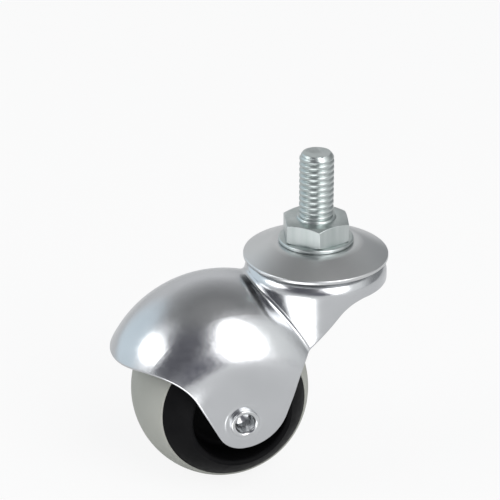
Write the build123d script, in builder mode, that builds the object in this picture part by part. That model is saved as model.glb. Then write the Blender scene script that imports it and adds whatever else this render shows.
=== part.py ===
"""Hooded ball caster with a threaded stem.

Millimetres. The origin is on the swivel axis where the thread meets its root fillet.
+Z runs up the stem, the wheel trails towards -X, and the axle lies along Y.
"""
from build123d import *
import os
from math import asin, atan, cos, degrees, floor, pi, radians, sin, sqrt, tan

# Threaded stem: five sixteenths of an inch, on a forged hexagon collar
stem_r = 3.97
stem_length = 15.3
stem_tip_chamfer = 0.75
root_fillet = 0.6
collar_across_flats = 14.3
collar_height = 4.8
collar_corner_cut = 0.6
collar_turn = 16.3
shank_r = 4.75
shank_end_r = 4.0
peened_head_r = 5.9
peened_head_height = 1.3
peened_head_round = 1.1
slip_fit = 0.05

# Washer between the collar and the cover disc
washer_r = 8.7
washer_thickness = 1.0
washer_edge_round = 0.45

# Cover disc: a shallow cone that is also the upper race
disc_r = 16.75
disc_flat_r = 10.4
disc_drop = 2.95
disc_thickness = 0.95
disc_bend_round = 4.0
disc_rim_round = 0.3

# Two rows of loose balls
upper_ball_r = 1.985
upper_pitch_r = 10.6
lower_ball_r = 1.5875
lower_pitch_r = 6.9
ball_gap = 0.08
ball_spacing = 0.12

# Housing: one drawn sheet with a head, a neck and a domed hood with two ears
sheet = 1.2
head_r = 16.45
head_shoulder = 3.4
groove_clearance = 0.165
groove_depth = 1.6
kingpin_hole_r = 5.1

# Wheel place, seen from the origin
axle_back = 23.4
axle_down = 40.55

# Hood: turned about the axle line
hood_r = 28.35
hood_bulge = 23.6
ear_half_width = 18.9
ear_bend_round = 16.0
crease_round = 1.0
free_edge_round = 0.4

# Side outline of the hood's free edge, from the axle: corner points and their rounds
lip_outer_z = 8.4
arch_x, arch_z, arch_round = -14.9, 13.4, 11.0
ear_bottom_z = -6.65
ear_front_x, ear_front_round = -4.0, 6.5
ear_rear_x, ear_rear_round = 7.5, 10.8
waist_x, waist_z, waist_round = 13.9, 10.2, 20.0
neck_x, neck_z, neck_round = 26.3, 25.1, 9.0

# Lower race, held up by the peened end of the shank
lower_race_r = 9.6
lower_race_thickness = 1.2
lower_race_rim = 1.0
lower_race_round = 0.95

# Axle: a rivet with hollow ends that are rolled over, on a steel sleeve
rivet_r = 2.9
rivet_bore_r = 2.3
rivet_bore_depth = 5.0
rivet_drill_angle = 118.0
rivet_lip_r = 3.4
rivet_lip_height = 0.8
rivet_mouth_round = 0.6
rivet_lip_round = 0.35
sleeve_r = 3.75
axle_running_gap = 0.08

# Wheel: a nearly round ball with a grey tread band on a black core
wheel_r = 20.64
tread_half_width = 11.0
tread_edge_round = 0.3
tread_edge_depth = 2.95
tread_key_depth = 1.2
tread_key_half_width = 3.0
core_step = 0.3
core_face = 16.2
core_edge_round = 0.8
hub_r = 6.2
hub_side_gap = 0.4
hub_edge_round = 0.5
dish_r = 11.2
dish_face = 8.0
dish_round = 1.2

os.makedirs("parts", exist_ok=True)

# Heights that follow from the stack under the collar
collar_top = -root_fillet
collar_bottom = collar_top - collar_height
disc_top = collar_bottom - washer_thickness
disc_slope = atan(disc_drop / (disc_r - disc_flat_r))
disc_under = disc_top - disc_thickness


def disc_under_at(radius):
    """Height of the cover disc's underside at a radius on its cone."""
    fall = (radius - disc_flat_r) * tan(disc_slope)
    return disc_top - fall - disc_thickness / cos(disc_slope)


upper_ball_z = disc_under_at(upper_pitch_r) - (upper_ball_r + ball_gap) / cos(disc_slope)
groove_r = upper_ball_r + groove_clearance
groove_bottom = upper_ball_z - upper_ball_r - ball_gap
groove_z = groove_bottom + groove_r
plate_top = groove_bottom + groove_depth
plate_under = plate_top - sheet
lower_ball_z = plate_under - lower_ball_r - ball_gap
lower_race_top = lower_ball_z - lower_ball_r - ball_gap
lower_race_bottom = lower_race_top - lower_race_thickness
stem_bottom = lower_race_bottom - peened_head_height

axle_point = Vector(-axle_back, 0, -axle_down)
axle_line = Axis(axle_point, (0, 1, 0))
# Local x is the distance from the axle line and local y runs along it
axle_plane = Plane(origin=axle_point, x_dir=(1, 0, 0), z_dir=(0, 0, 1))
side_plane = Plane(origin=axle_point, x_dir=(1, 0, 0), z_dir=(0, -1, 0))


def save(part, name):
    """Label a finished piece and write it to its own file."""
    part.label = name
    export_step(part, f"parts/{name}.step")


def circle_edges(part, larger_than):
    """Round edges of a turned piece that are larger than a radius."""
    rounds = part.edges().filter_by(GeomType.CIRCLE)
    return rounds.filter_by(lambda edge: edge.radius > larger_than)


# Threaded stem, collar, shank and peened end, forged and turned in one piece
with BuildPart() as threaded_stem:
    with BuildSketch(Plane.XY.offset(collar_bottom)):
        RegularPolygon(collar_across_flats / 2, 6, major_radius=False, rotation=collar_turn)
    extrude(amount=collar_height)
    # A cone takes the corners off the hexagon, above and below
    with BuildSketch(Plane.XZ):
        with BuildLine():
            corner_r = collar_across_flats / 2 / cos(radians(30))
            Polyline(
                (0, collar_top),
                (corner_r - 2 * collar_corner_cut, collar_top),
                (corner_r, collar_top - collar_corner_cut),
                (corner_r, collar_bottom + collar_corner_cut / 2),
                (corner_r - collar_corner_cut, collar_bottom),
                (0, collar_bottom),
                close=True,
            )
        make_face()
    revolve(axis=Axis.Z, mode=Mode.INTERSECT)
    with BuildSketch(Plane.XZ):
        with BuildLine():
            Polyline(
                (0, stem_length),
                (stem_r - stem_tip_chamfer, stem_length),
                (stem_r, stem_length - stem_tip_chamfer),
                (stem_r, 0),
            )
            RadiusArc((stem_r, 0), (stem_r + root_fillet, collar_top), root_fillet)
            Polyline(
                (stem_r + root_fillet, collar_top),
                (stem_r + root_fillet, collar_bottom),
                (shank_r, collar_bottom),
                (shank_r, lower_race_top),
                (shank_end_r, lower_race_top),
                (shank_end_r, lower_race_bottom),
                (peened_head_r, lower_race_bottom),
                (peened_head_r, stem_bottom),
                (0, stem_bottom),
                (0, stem_length),
            )
        make_face()
    revolve(axis=Axis.Z)
    peened_edge = threaded_stem.edges().filter_by(GeomType.CIRCLE).sort_by(Axis.Z)[0]
    fillet(peened_edge, radius=peened_head_round)
save(threaded_stem.part, "threaded_stem")

# Washer with rounded edges
with BuildPart() as stem_washer:
    with BuildSketch(Plane.XY.offset(disc_top)):
        Circle(washer_r)
        Circle(shank_r + slip_fit, mode=Mode.SUBTRACT)
    extrude(amount=washer_thickness)
    fillet(circle_edges(stem_washer, washer_r - slip_fit), radius=washer_edge_round)
save(stem_washer.part, "stem_washer")

# Cover disc
with BuildPart() as cover_disc:
    with BuildSketch(Plane.XZ):
        with BuildLine():
            rim_top = disc_top - disc_drop
            rim_bottom = disc_under_at(disc_r)
            bend_under = disc_flat_r - disc_thickness * tan(disc_slope / 2)
            hole_r = shank_r + slip_fit
            FilletPolyline(
                (hole_r, disc_top),
                (disc_flat_r, disc_top),
                (disc_r, rim_top),
                radius=disc_bend_round,
            )
            Line((disc_r, rim_top), (disc_r, rim_bottom))
            FilletPolyline(
                (disc_r, rim_bottom),
                (bend_under, disc_under),
                (hole_r, disc_under),
                radius=disc_bend_round - disc_thickness,
            )
            Line((hole_r, disc_under), (hole_r, disc_top))
        make_face()
    revolve(axis=Axis.Z)
    fillet(circle_edges(cover_disc, disc_r - disc_rim_round), radius=disc_rim_round)
save(cover_disc.part, "cover_disc")


def save_ball_row(row_name, ball_r, pitch_r, height):
    """Write a full circle of loose balls, each as its own piece."""
    count = floor(2 * pi * pitch_r / (2 * ball_r + ball_spacing))
    for index in range(count):
        angle = 2 * pi * index / count
        centre = Vector(pitch_r * cos(angle), pitch_r * sin(angle), height)
        with BuildPart(Plane(origin=centre)) as ball:
            Sphere(ball_r)
        save(ball.part, f"{row_name}_{index + 1:02d}")


save_ball_row("upper_ball", upper_ball_r, upper_pitch_r, upper_ball_z)
save_ball_row("lower_ball", lower_ball_r, lower_pitch_r, lower_ball_z)

# Lower race, a washer with its rim turned up
with BuildPart() as lower_race:
    with BuildSketch(Plane.XZ):
        with BuildLine():
            Polyline(
                (shank_end_r + slip_fit, lower_race_top),
                (lower_race_r - lower_race_thickness, lower_race_top),
                (lower_race_r - lower_race_thickness, lower_race_top + lower_race_rim),
                (lower_race_r, lower_race_top + lower_race_rim),
                (lower_race_r, lower_race_bottom),
                (shank_end_r + slip_fit, lower_race_bottom),
                close=True,
            )
        make_face()
    revolve(axis=Axis.Z)
    race_corner = circle_edges(lower_race, lower_race_r - slip_fit).sort_by(Axis.Z)[0]
    fillet(race_corner, radius=lower_race_round)
save(lower_race.part, "lower_race")


def hood_profile(inset):
    """Half section of the hood about the axle line, moved in by a wall."""
    half_width = ear_half_width - inset
    crown = hood_r - inset
    bulge = hood_bulge - inset
    ear_angle = degrees(asin(half_width / bulge))
    with BuildSketch(axle_plane) as profile:
        with BuildLine():
            arc = EllipticalCenterArc((0, 0), crown, bulge, -ear_angle, arc_size=2 * ear_angle)
            Polyline(arc @ 1, (0, half_width), (0, -half_width), arc @ 0)
        make_face()
        bends = profile.vertices().group_by(Axis.X)[-1]
        fillet(bends, radius=ear_bend_round - inset)
    return profile.sketch


def head_profile(inset):
    """Half section of the head about the swivel axis: plate, shoulder, wall, ball groove."""
    wall_r = head_r - inset
    top = plate_top - inset
    with BuildSketch(Plane.XZ) as profile:
        with BuildLine():
            Polyline((0, -axle_down), (0, top), (wall_r, top), (wall_r, -axle_down), close=True)
        make_face()
        shoulder = profile.vertices().group_by(Axis.Y)[-1].sort_by(Axis.X)[-1]
        fillet(shoulder, radius=head_shoulder - inset)
        with Locations((upper_pitch_r, groove_z)):
            Circle(groove_r + inset, mode=Mode.SUBTRACT)
    return profile.sketch


# Side outline of the drawn sheet: nose lip, wheel arch, ear, waist and neck
with BuildPart() as side_trim:
    with BuildSketch(side_plane):
        with BuildLine():
            beyond = hood_r + head_r
            FilletPolyline(
                (-beyond, lip_outer_z),
                (arch_x, arch_z),
                (ear_front_x, ear_bottom_z),
                (ear_rear_x, ear_bottom_z),
                (waist_x, waist_z),
                (neck_x, neck_z),
                (beyond, neck_z),
                radius=[arch_round, ear_front_round, ear_rear_round, waist_round, neck_round],
            )
            Polyline((beyond, neck_z), (beyond, beyond), (-beyond, beyond), (-beyond, lip_outer_z))
        make_face()
    extrude(amount=ear_half_width + sheet, both=True)


def drawn_form(inset):
    """Hood and head as one solid, moved in by a wall."""
    with BuildPart() as form:
        add(hood_profile(inset))
        revolve(axis=axle_line)
        add(head_profile(inset))
        revolve(axis=Axis.Z)
    return form.part


def in_valley(edge):
    """Whether an edge runs in the valley between hood and neck."""
    middle = edge @ 0.5
    return middle.X < 0 and abs(middle.X**2 + middle.Y**2 - head_r**2) < head_r


def lies_on(edge, others):
    """Whether the middle of an edge lies on one of the other edges."""
    return any(other.distance_to(edge @ 0.5) < 0.001 for other in others)


with BuildPart() as swivel_housing:
    add(drawn_form(0))
    add(side_trim.part, mode=Mode.INTERSECT)
    outline_edges = swivel_housing.edges(Select.NEW)
    valley = swivel_housing.edges().filter_by(GeomType.BSPLINE).filter_by(in_valley)
    fillet(valley, radius=crease_round)
    # The blanked edge is rounded on its outer side, all the way along the outline
    free_edges = swivel_housing.edges().filter_by(lambda edge: lies_on(edge, outline_edges))
    fillet(free_edges, radius=free_edge_round)
    add(drawn_form(sheet), mode=Mode.SUBTRACT)
    with Locations((0, 0, plate_top)):
        Hole(kingpin_hole_r)
    with Locations(Plane(origin=axle_point, x_dir=(1, 0, 0), z_dir=(0, 1, 0))):
        Hole(rivet_r + slip_fit)
save(swivel_housing.part, "swivel_housing")

# Rivet through both ears, its hollow ends rolled over
with BuildPart() as axle_rivet:
    with BuildSketch(axle_plane):
        with BuildLine():
            tip = ear_half_width + rivet_lip_height
            bore_end = tip - rivet_bore_depth
            drill_rise = rivet_bore_r / tan(radians(rivet_drill_angle / 2))
            FilletPolyline(
                (rivet_bore_r, bore_end),
                (rivet_bore_r, tip),
                (rivet_lip_r, tip),
                (rivet_lip_r, ear_half_width),
                radius=[rivet_mouth_round, rivet_lip_round],
            )
            Polyline(
                (rivet_lip_r, ear_half_width),
                (rivet_r, ear_half_width),
                (rivet_r, 0),
                (0, 0),
                (0, bore_end - drill_rise),
                (rivet_bore_r, bore_end),
            )
        make_face()
        mirror(about=Plane(origin=axle_point, x_dir=(1, 0, 0), z_dir=(0, 1, 0)))
    revolve(axis=axle_line)
save(axle_rivet.part, "axle_rivet")

ear_inner = ear_half_width - sheet

# Steel sleeve that the wheel turns on, held between the ears
with BuildPart() as axle_sleeve:
    with BuildSketch(side_plane):
        Circle(sleeve_r)
        Circle(rivet_r + slip_fit, mode=Mode.SUBTRACT)
    extrude(amount=ear_inner, both=True)
save(axle_sleeve.part, "axle_sleeve")


def sphere_r_at(radius, offset):
    """Radius about the axle of a ball of the given radius, at a distance along the axle."""
    return sqrt(radius**2 - offset**2)


tread_seat_r = sphere_r_at(wheel_r, tread_half_width) - tread_edge_depth

# Black core: hub, dished web, spherical shoulders and a seat for the tread
with BuildPart() as wheel_core:
    core_r = wheel_r - core_step
    bore_r = sleeve_r + axle_running_gap
    hub_end = ear_inner - hub_side_gap
    with BuildSketch(axle_plane):
        with BuildLine():
            edge_r = sphere_r_at(core_r, tread_half_width)
            face_r = sphere_r_at(core_r, core_face)
            middle = (tread_half_width + core_face) / 2
            Line((bore_r, 0), (bore_r, hub_end))
            FilletPolyline(
                (bore_r, hub_end),
                (hub_r, hub_end),
                (hub_r, dish_face),
                (dish_r, dish_face),
                (dish_r, core_face),
                (face_r, core_face),
                radius=[hub_edge_round, dish_round, dish_round, core_edge_round],
            )
            ThreePointArc(
                (face_r, core_face),
                (sphere_r_at(core_r, middle), middle),
                (edge_r, tread_half_width),
            )
            Polyline(
                (edge_r, tread_half_width),
                (tread_seat_r, tread_half_width),
                (tread_seat_r, tread_key_half_width),
                (tread_seat_r + tread_key_depth, tread_key_half_width),
                (tread_seat_r + tread_key_depth, 0),
                (bore_r, 0),
            )
        make_face()
        mirror(about=Plane(origin=axle_point, x_dir=(1, 0, 0), z_dir=(0, 1, 0)))
    revolve(axis=axle_line)
save(wheel_core.part, "wheel_core")

# Grey tread moulded over the core
with BuildPart() as wheel_tread:
    with BuildSketch(axle_plane):
        with BuildLine():
            edge_r = sphere_r_at(wheel_r, tread_half_width)
            Polyline(
                (edge_r, -tread_half_width),
                (tread_seat_r, -tread_half_width),
                (tread_seat_r, -tread_key_half_width),
                (tread_seat_r + tread_key_depth, -tread_key_half_width),
                (tread_seat_r + tread_key_depth, tread_key_half_width),
                (tread_seat_r, tread_key_half_width),
                (tread_seat_r, tread_half_width),
                (edge_r, tread_half_width),
            )
            ThreePointArc((edge_r, tread_half_width), (wheel_r, 0), (edge_r, -tread_half_width))
        make_face()
    revolve(axis=axle_line)
    fillet(circle_edges(wheel_tread, tread_seat_r + tread_key_depth), radius=tread_edge_round)
save(wheel_tread.part, "wheel_tread")
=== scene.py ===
from math import cos, pi, radians, sin

import bmesh
import bpy
from mathutils import Matrix, Vector


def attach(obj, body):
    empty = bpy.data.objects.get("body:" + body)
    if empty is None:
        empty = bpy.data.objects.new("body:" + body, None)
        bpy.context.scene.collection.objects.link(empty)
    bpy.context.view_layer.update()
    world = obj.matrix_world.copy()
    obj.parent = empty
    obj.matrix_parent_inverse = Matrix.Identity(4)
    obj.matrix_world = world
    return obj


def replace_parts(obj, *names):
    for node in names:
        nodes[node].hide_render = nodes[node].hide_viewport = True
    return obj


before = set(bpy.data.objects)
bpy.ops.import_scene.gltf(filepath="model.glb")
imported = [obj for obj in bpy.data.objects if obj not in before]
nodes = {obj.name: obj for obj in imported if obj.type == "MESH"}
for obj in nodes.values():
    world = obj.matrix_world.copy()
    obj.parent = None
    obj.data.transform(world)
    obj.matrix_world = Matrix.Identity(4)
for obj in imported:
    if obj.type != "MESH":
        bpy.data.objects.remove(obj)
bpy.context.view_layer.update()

# Sizes are in millimetres, the same as those of the solids
MM = 0.001

STEM_R = 3.97
STEM_TOP = 15.3
TIP_CHAMFER = 0.75
TIP_HEIGHT = 1.3
TIP_CURVE = 1.7
THREAD_PITCH = 1.411
THREAD_DEPTH = 0.45
THREAD_FOOT = -0.3
THREAD_START = -1.6     # in pitches, below the foot so that the cut is clean
THREAD_TURNS = 14
THREAD_STEPS = 72
COLLAR_CUT = -0.02
COLLAR_WEAR = 0.24

BORE_R = 4.80
WASHER_R = 8.7
WASHER_TOP = -5.4
WASHER_ROUND = 0.42

DISC_R = 16.75
DISC_TOP = -6.4
DISC_UNDER = -7.35
DISC_BEND_R = 10.4
DISC_UNDER_BEND_R = 10.19
DISC_RIM_TOP = -9.35
DISC_RIM_UNDER = -10.3975

AXLE_X = -23.4
AXLE_Z = -40.55
RIVETING_MARK_R = 4.3
RIVETING_MARK_WIDTH = 0.6

FLOOR_Z = -61.19


# ---------------------------------------------------------------- pieces

def finished(name, bm, body, material, smooth_angle=40):
    """Turn a bmesh into a piece of the caster, shaded smooth up to an angle."""
    bmesh.ops.recalc_face_normals(bm, faces=bm.faces)
    mesh = bpy.data.meshes.new(name)
    bm.to_mesh(mesh)
    bm.free()
    mesh.polygons.foreach_set("use_smooth", [True] * len(mesh.polygons))
    mesh.set_sharp_from_angle(angle=radians(smooth_angle))
    piece = bpy.data.objects.new(name, mesh)
    bpy.context.scene.collection.objects.link(piece)
    mesh.materials.append(material)
    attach(piece, body)
    return piece


def turned(profile, steps=144):
    """Turn a closed profile of (radius, height) round the swivel axis."""
    bm = bmesh.new()
    verts = [bm.verts.new((r * MM, 0, z * MM)) for r, z in profile]
    edges = [bm.edges.new(pair) for pair in zip(verts, verts[1:] + verts[:1])]
    bmesh.ops.spin(bm, geom=verts + edges, cent=(0, 0, 0), axis=(0, 0, 1), dvec=(0, 0, 0),
                   angle=2 * pi, steps=steps, use_merge=True, use_duplicate=False)
    bmesh.ops.remove_doubles(bm, verts=bm.verts, dist=1e-6)
    bmesh.ops.recalc_face_normals(bm, faces=bm.faces)
    return bm


def soften(bm, radius, height, size, segments):
    """Round the turned edge that runs at a radius and a height."""
    ring = [
        edge for edge in bm.edges
        if all(abs(v.co.xy.length - radius * MM) < 1e-6 and abs(v.co.z - height * MM) < 1e-6
               for v in edge.verts)
    ]
    bmesh.ops.bevel(bm, geom=ring, offset=size * MM, offset_type="OFFSET", segments=segments,
                    profile=0.5, affect="EDGES", material=-1)


def cut_off(bm, height, side):
    """Cut away what lies above a height (side 1) or below it (side -1)."""
    bmesh.ops.bisect_plane(bm, geom=bm.verts[:] + bm.edges[:] + bm.faces[:], dist=1e-7,
                           plane_co=(0, 0, height * MM), plane_no=(0, 0, side), clear_outer=True)


def cover_disc(material):
    """Coned cover disc with a soft bend and a rolled-off rim."""
    bm = turned([
        (BORE_R, DISC_TOP), (DISC_BEND_R, DISC_TOP), (DISC_R, DISC_RIM_TOP),
        (DISC_R, DISC_RIM_UNDER), (DISC_UNDER_BEND_R, DISC_UNDER), (BORE_R, DISC_UNDER),
    ])
    soften(bm, DISC_BEND_R, DISC_TOP, 0.883, 8)
    soften(bm, DISC_UNDER_BEND_R, DISC_UNDER, 0.674, 6)
    soften(bm, DISC_R, DISC_RIM_TOP, 0.19, 4)
    soften(bm, DISC_R, DISC_RIM_UNDER, 0.46, 5)
    return finished("cover_disc_skin", bm, "stem", material)


def stem_washer(material):
    """Washer under the collar, its outer edges rounded."""
    bm = turned([(BORE_R, WASHER_TOP), (WASHER_R, WASHER_TOP), (WASHER_R, DISC_TOP), (BORE_R, DISC_TOP)])
    soften(bm, WASHER_R, WASHER_TOP, WASHER_ROUND, 5)
    soften(bm, WASHER_R, DISC_TOP, WASHER_ROUND, 5)
    return finished("stem_washer_skin", bm, "stem", material)


def stem_thread(material):
    """Rolled thread: one pitch of the profile carried up the helix, cut flat and chamfered."""
    bm = bmesh.new()
    root = STEM_R - THREAD_DEPTH
    # Radius and share of a pitch: a flat root, straight flanks and a wide soft crest
    half = [
        (root, 0.500), (root, 0.470), (root + 0.03, 0.440), (STEM_R - 0.12, 0.300),
        (STEM_R - 0.05, 0.250), (STEM_R - 0.012, 0.180), (STEM_R, 0.0),
    ]
    profile = [(r, -share) for r, share in half] + [(r, share) for r, share in half[-2::-1]]
    pitch = THREAD_PITCH * MM
    verts = [bm.verts.new((r * MM, 0, (THREAD_START + share) * pitch)) for r, share in profile]
    edges = [bm.edges.new(pair) for pair in zip(verts, verts[1:])]
    bmesh.ops.spin(bm, geom=verts + edges, cent=(0, 0, 0), axis=(0, 0, 1),
                   dvec=(0, 0, pitch / THREAD_STEPS), angle=2 * pi * THREAD_TURNS,
                   steps=THREAD_STEPS * THREAD_TURNS, use_merge=False, use_duplicate=False)
    bmesh.ops.remove_doubles(bm, verts=bm.verts, dist=2e-6)
    # Rolling starts on a chamfered end, so the first turns taper in
    for vert in bm.verts:
        climb = min(1, max(0, (vert.co.z / MM - STEM_TOP + TIP_HEIGHT) / TIP_HEIGHT))
        allowed = (STEM_R - TIP_CHAMFER * climb ** TIP_CURVE) * MM
        radius = vert.co.xy.length
        if radius > allowed:
            vert.co.xy *= allowed / radius
    cut_off(bm, STEM_TOP, 1)
    cut_off(bm, THREAD_FOOT, -1)
    bmesh.ops.holes_fill(bm, edges=bm.edges, sides=0)
    return finished("stem_thread", bm, "stem", material, 50)


def stem_collar(material):
    """Hexagon collar, shank and peened end, from the solid with its plain pin cut off."""
    bm = bmesh.new()
    bm.from_mesh(nodes["threaded_stem"].data)
    bmesh.ops.remove_doubles(bm, verts=bm.verts, dist=1e-6)
    cut_off(bm, COLLAR_CUT, 1)
    bmesh.ops.holes_fill(bm, edges=bm.edges, sides=0)
    bmesh.ops.dissolve_limit(bm, angle_limit=radians(1), verts=bm.verts, edges=bm.edges)
    collar = finished("stem_collar", bm, "stem", material, 30)
    worn = collar.modifiers.new("worn_edges", "BEVEL")
    worn.width = COLLAR_WEAR * MM
    worn.segments = 3
    worn.limit_method = "ANGLE"
    worn.angle_limit = radians(28)
    return collar


# ------------------------------------------------------------- materials

class Paint:
    """A procedural finish: a Principled shader with a few nodes on the piece's own coordinates."""

    def __init__(self, name, colour, metallic, roughness):
        self.material = bpy.data.materials.new(name)
        self.material.use_nodes = True
        self.tree = self.material.node_tree
        self.shader = self.tree.nodes["Principled BSDF"]
        self.shader.inputs["Base Color"].default_value = (*colour, 1)
        self.shader.inputs["Metallic"].default_value = metallic
        self.shader.inputs["Roughness"].default_value = roughness
        self.place = self.node("ShaderNodeTexCoord").outputs["Object"]

    def node(self, kind, **settings):
        made = self.tree.nodes.new(kind)
        for key, value in settings.items():
            setattr(made, key, value)
        return made

    def link(self, a, b):
        self.tree.links.new(a, b)

    def set(self, socket, value):
        self.link(value, self.shader.inputs[socket])

    def noise(self, scale, detail=3.0, stretch=(1, 1, 1)):
        """Noise on the piece; features are about 1/scale metres wide."""
        mapping = self.node("ShaderNodeMapping")
        mapping.inputs["Scale"].default_value = stretch
        self.link(self.place, mapping.inputs["Vector"])
        made = self.node("ShaderNodeTexNoise")
        made.inputs["Scale"].default_value = scale
        made.inputs["Detail"].default_value = detail
        self.link(mapping.outputs["Vector"], made.inputs["Vector"])
        return made.outputs["Fac"]

    def span(self, noise, low, high):
        """Spread the middle of a noise over a range of values."""
        made = self.node("ShaderNodeMapRange")
        for key, number in (("From Min", 0.3), ("From Max", 0.7), ("To Min", low), ("To Max", high)):
            made.inputs[key].default_value = number
        self.link(noise, made.inputs["Value"])
        return made.outputs["Result"]

    def mottle(self, noise, one, two):
        """Let the colour wander between two close colours."""
        made = self.node("ShaderNodeMix", data_type="RGBA")
        made.inputs[6].default_value = (*one, 1)
        made.inputs[7].default_value = (*two, 1)
        self.link(self.span(noise, 0, 1), made.inputs[0])
        self.set("Base Color", made.outputs[2])

    def bump(self, value, distance, strength=1.0, under=None):
        made = self.node("ShaderNodeBump")
        made.inputs["Distance"].default_value = distance
        made.inputs["Strength"].default_value = strength
        self.link(value, made.inputs["Height"])
        if under is not None:
            self.link(under, made.inputs["Normal"])
        return made.outputs["Normal"]

    def ring_round_axle(self, radius, width):
        """A low ridge round the axle, where the riveting tool pressed the sheet."""
        flat = self.node("ShaderNodeVectorMath", operation="MULTIPLY")
        flat.inputs[1].default_value = (1, 0, 1)
        self.link(self.place, flat.inputs[0])
        reach = self.node("ShaderNodeVectorMath", operation="DISTANCE")
        reach.inputs[1].default_value = (AXLE_X * MM, 0, AXLE_Z * MM)
        self.link(flat.outputs[0], reach.inputs[0])
        off = self.node("ShaderNodeMath", operation="SUBTRACT")
        off.inputs[1].default_value = radius * MM
        self.link(reach.outputs["Value"], off.inputs[0])
        away = self.node("ShaderNodeMath", operation="ABSOLUTE")
        self.link(off.outputs[0], away.inputs[0])
        made = self.node("ShaderNodeMapRange", interpolation_type="SMOOTHSTEP")
        for key, number in (("From Min", 0), ("From Max", width * MM), ("To Min", 1), ("To Max", 0)):
            made.inputs[key].default_value = number
        self.link(away.outputs[0], made.inputs["Value"])
        return made.outputs["Result"]


def drawn_zinc():
    """Bright zinc on the drawn sheet: cool, slightly cloudy, with a fine grain from the press."""
    paint = Paint("drawn_zinc", (0.57, 0.58, 0.595), 1.0, 0.21)
    cloud = paint.noise(110, 4)
    grain = paint.noise(800, 4)
    paint.mottle(cloud, (0.55, 0.56, 0.575), (0.59, 0.60, 0.615))
    paint.set("Roughness", paint.span(grain, 0.18, 0.24))
    soft = paint.bump(cloud, 0.00012, 0.6)
    soft = paint.bump(grain, 0.00002, 0.6, soft)
    mark = paint.ring_round_axle(RIVETING_MARK_R, RIVETING_MARK_WIDTH)
    paint.set("Normal", paint.bump(mark, 0.00007, 1.0, soft))
    return paint.material


def satin_zinc():
    """Satin zinc on the turned and pressed discs."""
    paint = Paint("satin_zinc", (0.63, 0.64, 0.64), 1.0, 0.3)
    paint.mottle(paint.noise(120), (0.61, 0.625, 0.625), (0.65, 0.655, 0.66))
    grain = paint.noise(700)
    paint.set("Roughness", paint.span(grain, 0.292, 0.312))
    paint.set("Normal", paint.bump(grain, 0.000004, 0.4))
    return paint.material


def stem_zinc():
    """Zinc on the forged stem, a little green, with faint drag marks down the flats."""
    paint = Paint("stem_zinc", (0.50, 0.54, 0.535), 1.0, 0.33)
    streak = paint.noise(420, 4, (1, 1, 0.07))
    paint.mottle(streak, (0.44, 0.49, 0.48), (0.56, 0.595, 0.59))
    paint.set("Roughness", paint.span(streak, 0.30, 0.36))
    paint.set("Normal", paint.bump(streak, 0.000008, 0.3))
    return paint.material


def rivet_steel():
    """Bright steel, rolled over at the ends."""
    paint = Paint("rivet_steel", (0.60, 0.61, 0.62), 1.0, 0.2)
    paint.mottle(paint.noise(500), (0.57, 0.58, 0.59), (0.63, 0.64, 0.65))
    paint.set("Roughness", paint.span(paint.noise(1500), 0.15, 0.26))
    paint.set("Normal", paint.bump(paint.noise(1200, 2), 0.00001, 0.4))
    return paint.material


def ball_steel():
    """Ground bearing balls with a film of oil."""
    paint = Paint("ball_steel", (0.66, 0.66, 0.68), 1.0, 0.1)
    film = paint.noise(1200, 2)
    paint.mottle(film, (0.62, 0.62, 0.63), (0.69, 0.69, 0.71))
    paint.set("Roughness", paint.span(film, 0.08, 0.14))
    paint.set("Normal", paint.bump(film, 0.000002, 0.4))
    return paint.material


def core_black():
    """Black moulded plastic with a low sheen and a fine mould texture."""
    paint = Paint("core_black", (0.006, 0.006, 0.0065), 0.0, 0.44)
    paint.shader.inputs["Specular IOR Level"].default_value = 0.03
    paint.mottle(paint.noise(200), (0.005, 0.005, 0.0055), (0.0075, 0.0075, 0.008))
    paint.set("Roughness", paint.span(paint.noise(700), 0.38, 0.50))
    paint.set("Normal", paint.bump(paint.noise(2000, 2), 0.000005, 0.4))
    return paint.material


def tread_grey():
    """Warm grey soft tread, matte, slightly mottled."""
    paint = Paint("tread_grey", (0.345, 0.35, 0.317), 0.0, 0.6)
    paint.mottle(paint.noise(160, 4), (0.335, 0.34, 0.307), (0.355, 0.36, 0.327))
    paint.set("Roughness", paint.span(paint.noise(600), 0.55, 0.65))
    paint.set("Normal", paint.bump(paint.noise(1500, 2), 0.000006, 0.5))
    return paint.material


def repaint(material, *names):
    for name in names:
        mesh = nodes[name].data
        mesh.materials.clear()
        mesh.materials.append(material)


zinc = stem_zinc()
satin = satin_zinc()
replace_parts(stem_thread(zinc), "threaded_stem")
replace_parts(stem_collar(zinc), "threaded_stem")
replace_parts(cover_disc(satin), "cover_disc")
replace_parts(stem_washer(zinc), "stem_washer")

repaint(zinc, "threaded_stem", "stem_washer")
repaint(satin, "cover_disc", "lower_race")
repaint(drawn_zinc(), "swivel_housing")
repaint(rivet_steel(), "axle_rivet", "axle_sleeve")
repaint(core_black(), "wheel_core")
repaint(tread_grey(), "wheel_tread")
repaint(ball_steel(), *[name for name in nodes if "_ball_" in name])


# ------------------------------------------------------- floor and light

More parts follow.
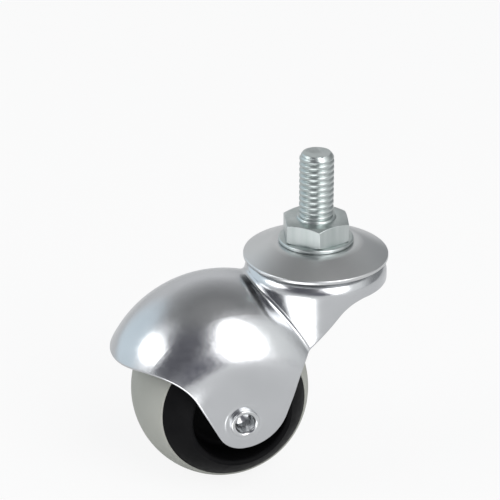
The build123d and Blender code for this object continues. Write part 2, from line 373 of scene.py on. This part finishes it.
def pale_floor():
    """Pale floor: nearly white to the camera, with the caster's soft shadow left on it."""
    bm = bmesh.new()
    bmesh.ops.create_circle(bm, cap_ends=True, segments=64, radius=4)
    bmesh.ops.translate(bm, verts=bm.verts, vec=(0, 0, FLOOR_Z * MM - 0.0001))
    mesh = bpy.data.meshes.new("pale_floor")
    bm.to_mesh(mesh)
    bm.free()
    floor = bpy.data.objects.new("pale_floor", mesh)
    bpy.context.scene.collection.objects.link(floor)
    paint = Paint("pale_floor", (0.78, 0.78, 0.78), 0.0, 0.9)
    paint.shader.inputs["Specular IOR Level"].default_value = 0.0
    # Share of plain white that the camera and the metal see
    rays = paint.node("ShaderNodeLightPath")
    seen = paint.node("ShaderNodeMath", operation="MULTIPLY")
    seen.inputs[1].default_value = 0.88
    paint.link(rays.outputs["Is Camera Ray"], seen.inputs[0])
    share = paint.node("ShaderNodeMath", operation="MULTIPLY_ADD")
    share.inputs[1].default_value = 0.25
    paint.link(rays.outputs["Is Glossy Ray"], share.inputs[0])
    paint.link(seen.outputs[0], share.inputs[2])
    white = paint.node("ShaderNodeEmission")
    white.inputs["Color"].default_value = (1, 1, 1, 1)
    white.inputs["Strength"].default_value = 1.0
    mix = paint.node("ShaderNodeMixShader")
    paint.link(share.outputs[0], mix.inputs[0])
    paint.link(paint.shader.outputs[0], mix.inputs[1])
    paint.link(white.outputs[0], mix.inputs[2])
    paint.link(mix.outputs[0], paint.tree.nodes["Material Output"].inputs["Surface"])
    mesh.materials.append(paint.material)


def toward(azimuth, elevation):
    """Direction from the caster: azimuth 0 straight in front, 90 to the right, in degrees."""
    a, e = radians(azimuth), radians(elevation)
    return Vector((sin(a) * cos(e), -cos(a) * cos(e), sin(e)))


def studio_world():
    """The studio that the bright metal mirrors: pale low down, dim overhead, soft patches round it."""
    world = bpy.data.worlds.new("studio")
    world.use_nodes = True
    bpy.context.scene.world = world
    tree = world.node_tree

    def blend(factor, under, colour):
        mix = tree.nodes.new("ShaderNodeMix")
        mix.data_type = "RGBA"
        mix.inputs[7].default_value = (*colour, 1)
        tree.links.new(factor, mix.inputs[0])
        tree.links.new(under, mix.inputs[6])
        return mix.outputs[2]

    coords = tree.nodes.new("ShaderNodeTexCoord")
    split = tree.nodes.new("ShaderNodeSeparateXYZ")
    tree.links.new(coords.outputs["Generated"], split.inputs[0])
    ramp = tree.nodes.new("ShaderNodeValToRGB")
    stops = ramp.color_ramp.elements
    stops[0].position, stops[0].color = 0.0, (0.66, 0.67, 0.68, 1)
    stops[1].position, stops[1].color = 1.0, (0.34, 0.34, 0.34, 1)
    for position, level in ((0.44, 0.78), (0.76, 0.40), (0.93, 0.26)):
        stop = stops.new(position)
        stop.color = (level, level * 1.01, level * 1.02, 1)
    tree.links.new(split.outputs["Z"], ramp.inputs[0])
    shade = ramp.outputs["Color"]

    # Azimuth, elevation, full and vanishing radius in degrees, colour
    patches = (
        (20, 37, 22, 48, (1.2, 1.2, 1.21)),
        (-92, 32, 12, 30, (1.1, 1.12, 1.14)),
        (-130, 14, 14, 40, (0.86, 0.98, 1.06)),
        (58, 26, 10, 36, (0.98, 1.0, 1.0)),
        (110, 0, 20, 56, (0.30, 0.31, 0.32)),
        (-46, 36, 16, 42, (0.13, 0.13, 0.15)),
        (-12, 8, 8, 26, (0.15, 0.15, 0.18)),
    )
    for azimuth, elevation, inner, outer, colour in patches:
        along = tree.nodes.new("ShaderNodeVectorMath")
        along.operation = "DOT_PRODUCT"
        along.inputs[1].default_value = toward(azimuth, elevation)
        tree.links.new(coords.outputs["Generated"], along.inputs[0])
        edge = tree.nodes.new("ShaderNodeMapRange")
        edge.interpolation_type = "SMOOTHSTEP"
        edge.inputs["From Min"].default_value = cos(radians(outer))
        edge.inputs["From Max"].default_value = cos(radians(inner))
        tree.links.new(along.outputs["Value"], edge.inputs["Value"])
        shade = blend(edge.outputs["Result"], shade, colour)

    # The camera sees plain white past the floor's edge
    rays = tree.nodes.new("ShaderNodeLightPath")
    shade = blend(rays.outputs["Is Camera Ray"], shade, (0.97, 0.97, 0.97))
    back = tree.nodes["Background"]
    tree.links.new(shade, back.inputs["Color"])
    back.inputs["Strength"].default_value = 1.0


def soft_box(name, at, aim, size, glow):
    """Oval soft box whose face shows a given brightness, where 1 is white."""
    data = bpy.data.lights.new(name, "AREA")
    data.shape = "ELLIPSE"
    data.size, data.size_y = size
    data.energy = glow * pi * (pi / 4 * size[0] * size[1])
    lamp = bpy.data.objects.new(name, data)
    lamp.location = at
    lamp.rotation_euler = (aim - at).to_track_quat("-Z", "Y").to_euler()
    bpy.context.scene.collection.objects.link(lamp)
    return lamp


def lamp_at(name, azimuth, elevation, size, glow):
    """Soft box one metre from the hood."""
    hood = Vector((-0.018, 0, -0.028))
    soft_box(name, hood + toward(azimuth, elevation), hood, size, glow)


def bounce_card(x, y, size, glow):
    """Low white card lying in front on the left, seen only in the metal."""
    at = Vector((x, y, FLOOR_Z * MM + 0.0005))
    card = soft_box("bounce_card", at, at + Vector((0, 0, 1)), size, glow)
    card.rotation_euler = (pi, 0, radians(50))
    card.visible_camera = False


pale_floor()
studio_world()
lamp_at("key_box", 18, 37, (0.60, 1.38), 2.674)
lamp_at("nose_box", -92, 32, (0.64, 0.38), 3.183)
bounce_card(-0.088, -0.096, (0.150, 0.100), 1.910)


def photo_camera():
    """The photograph's place and angle: 18.2 degrees to the left of the axle, 24.6 degrees up."""
    turn, rise = radians(-18.185), radians(24.568)
    right = Vector((cos(turn), sin(turn), 0))
    back = Vector((sin(turn) * cos(rise), -cos(turn) * cos(rise), sin(rise)))
    up = back.cross(right)
    data = bpy.data.cameras.new("photo_camera")
    data.lens = 179.04
    data.sensor_width = 36
    camera = bpy.data.objects.new("photo_camera", data)
    place = Matrix((right, up, back)).transposed().to_4x4()
    place.translation = (-0.17707, -0.49048, 0.22926)
    camera.matrix_world = place
    bpy.context.scene.collection.objects.link(camera)
    bpy.context.scene.camera = camera


photo_camera()
bpy.context.scene.view_settings.view_transform = "Standard"
